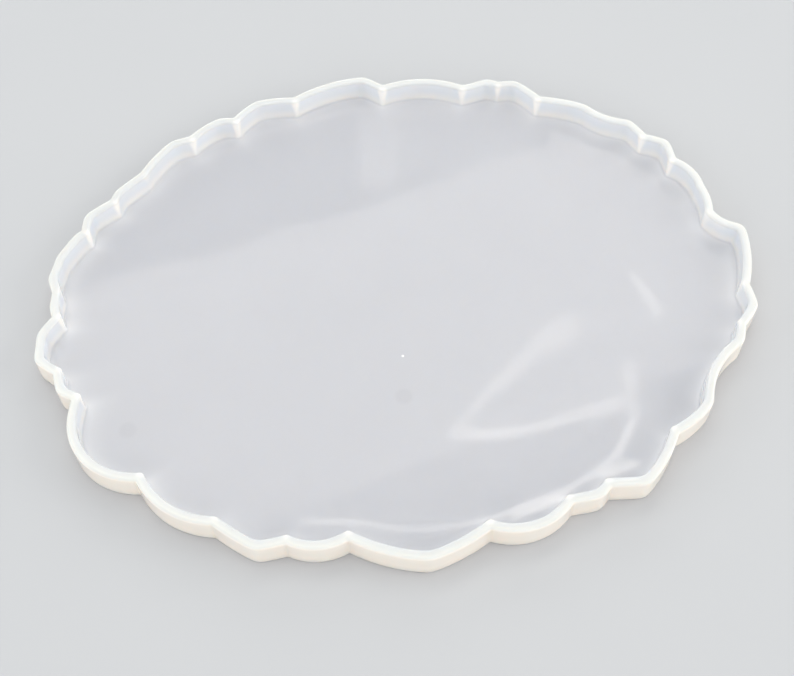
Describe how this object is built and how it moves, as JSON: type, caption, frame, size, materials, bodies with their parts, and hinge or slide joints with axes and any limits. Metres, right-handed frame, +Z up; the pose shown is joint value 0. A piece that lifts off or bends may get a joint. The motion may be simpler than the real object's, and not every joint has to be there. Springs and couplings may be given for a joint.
{
  "type": "resin casting mould",
  "caption": "Shallow open tray in flexible silicone for casting resin, with a wavy, ridged outline like a slice of agate and an even rim.",
  "frame": {"origin": "on the table plane, under the middle of the tray's bounding box", "axes": "+X along the long side, +Y towards the side with the wide, shallow waves, +Z up out of the cavity"},
  "size_m": [0.3546, 0.2948, 0.0145],
  "materials": {
    "silicone": "translucent milky white, glossy inside the cavity and satin outside"
  },
  "bodies": {
    "root": {"mould": "silicone"}
  },
  "joints": []
}
